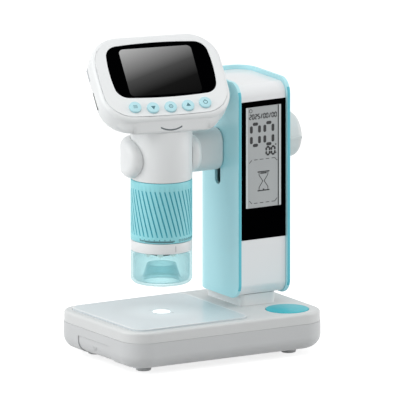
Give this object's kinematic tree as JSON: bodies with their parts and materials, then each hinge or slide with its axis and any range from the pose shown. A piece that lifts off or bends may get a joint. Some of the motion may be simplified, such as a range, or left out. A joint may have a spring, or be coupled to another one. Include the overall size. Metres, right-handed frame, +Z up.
{
  "type": "lcd digital microscope",
  "caption": "Handheld digital microscope with a tilted display head, held by a clip on a stand with a stage light and a clock column.",
  "frame": {"origin": "on the desk, under the middle of the whole object", "axes": "+Z up, +X along the base towards the clock column, +Y from the front to the back"},
  "size_m": [0.1548, 0.1, 0.2063],
  "materials": {
    "white_abs": "satin moulded ABS",
    "cyan_abs": "satin moulded ABS",
    "frosted_acrylic": "frosted acrylic sheet",
    "opal_diffuser": "opal acrylic, lit",
    "clear_pc": "clear polycarbonate",
    "black_glass": "black printed glass",
    "lcd_glass": "reflective liquid crystal display",
    "rubber": "moulded rubber",
    "steel": "turned steel",
    "black_abs": "matt black moulding",
    "circuit_board": "glass-fibre board with solder mask",
    "component": "black component body",
    "white_led": "LED package",
    "cell_wrap": "shrink-wrapped cell",
    "lens_glass": "coated optical glass"
  },
  "bodies": {
    "stand": {"base_bottom_shell": "white_abs", "base_top_shell": "white_abs", "stage_plate": "frosted_acrylic", "stage_light": "opal_diffuser", "stage_light_board": "circuit_board", "stage_light_led": "white_led", "base_board": "circuit_board", "base_button_switch": "component", "battery_cells": "cell_wrap", "battery_contacts": "steel", "rubber_feet": "rubber", "base_screws": "steel", "pedestal": "white_abs", "column_screws": "steel", "column_shell": "cyan_abs", "column_front": "white_abs", "clock_window": "black_glass", "clock_lcd": "lcd_glass", "clock_board": "circuit_board"},
    "battery_door": {"battery_door": "white_abs"},
    "base_button": {"base_button": "cyan_abs"},
    "carriage": {"slider_block": "black_abs", "arm_stud": "steel", "knob_washer": "black_abs", "arm": "white_abs", "holder_clip": "white_abs", "clip_screw": "steel"},
    "lock_knob": {"lock_knob": "white_abs"},
    "handheld": {"barrel": "white_abs", "index_ring": "white_abs", "ring_light_board": "component", "ring_leds": "white_led", "sensor_board": "circuit_board", "image_sensor": "component", "head_housing": "white_abs", "board_screws": "steel", "face_bezel": "white_abs", "display_glass": "black_glass", "display_module": "component", "head_board": "circuit_board", "head_battery": "cell_wrap", "charge_port": "steel", "card_socket": "steel", "key_switches": "component"},
    "focus_ring": {"focus_ring": "cyan_abs"},
    "lens_carrier": {"lens_carrier": "black_abs", "objective_lens": "lens_glass"},
    "clear_cap": {"clear_cap": "clear_pc"},
    "menu_key": {"menu_key": "cyan_abs"},
    "down_key": {"down_key": "cyan_abs"},
    "confirm_key": {"confirm_key": "cyan_abs"},
    "up_key": {"up_key": "cyan_abs"},
    "power_key": {"power_key": "cyan_abs"}
  },
  "joints": [
    {"name": "battery_door_slide", "type": "slide", "parent": "stand", "child": "battery_door", "axis": [-1, 0, 0], "range_m": [0, 0.02]},
    {"name": "base_button_press", "type": "slide", "parent": "stand", "child": "base_button", "axis": [0, 0, -1], "range_m": [0, 0.0012], "stiffness_N_per_m": 900, "springref_m": -0.0012},
    {"name": "height_slide", "type": "slide", "parent": "stand", "child": "carriage", "axis": [0, 0, 1], "range_m": [-0.018, 0.006]},
    {"name": "lock_knob_turn", "type": "hinge", "parent": "carriage", "child": "lock_knob", "pos_m": [0.05998, 0.0087, 0.1347], "axis": [1, 0, 0], "range_deg": [-90, 270]},
    {"name": "handheld_lift", "type": "slide", "parent": "carriage", "child": "handheld", "axis": [0, 0, 1], "range_m": [0, 0.1]},
    {"name": "focus_ring_turn", "type": "hinge", "parent": "handheld", "child": "focus_ring", "pos_m": [-0.02658, -0.0003, 0.09795], "axis": [0, 0, 1], "range_deg": [-150, 150]},
    {"name": "lens_slide", "type": "slide", "parent": "handheld", "child": "lens_carrier", "axis": [0, 0, 1], "range_m": [-0.004, 0.004]},
    {"name": "cap_pull", "type": "slide", "parent": "handheld", "child": "clear_cap", "axis": [0, 0, -1], "range_m": [0, 0.012]},
    {"name": "menu_key_press", "type": "slide", "parent": "handheld", "child": "menu_key", "axis": [0.1504, 0.6782, -0.7193], "range_m": [0, 0.0008], "stiffness_N_per_m": 500, "springref_m": -0.001},
    {"name": "down_key_press", "type": "slide", "parent": "handheld", "child": "down_key", "axis": [0.1504, 0.6782, -0.7193], "range_m": [0, 0.0008], "stiffness_N_per_m": 500, "springref_m": -0.001},
    {"name": "confirm_key_press", "type": "slide", "parent": "handheld", "child": "confirm_key", "axis": [0.1504, 0.6782, -0.7193], "range_m": [0, 0.0008], "stiffness_N_per_m": 500, "springref_m": -0.001},
    {"name": "up_key_press", "type": "slide", "parent": "handheld", "child": "up_key", "axis": [0.1504, 0.6782, -0.7193], "range_m": [0, 0.0008], "stiffness_N_per_m": 500, "springref_m": -0.001},
    {"name": "power_key_press", "type": "slide", "parent": "handheld", "child": "power_key", "axis": [0.1504, 0.6782, -0.7193], "range_m": [0, 0.0008], "stiffness_N_per_m": 500, "springref_m": -0.001}
  ],
  "couplings": [
    {"joint": "lens_slide", "follows": "focus_ring_turn", "m_per_rad": 0.0015264}
  ]
}
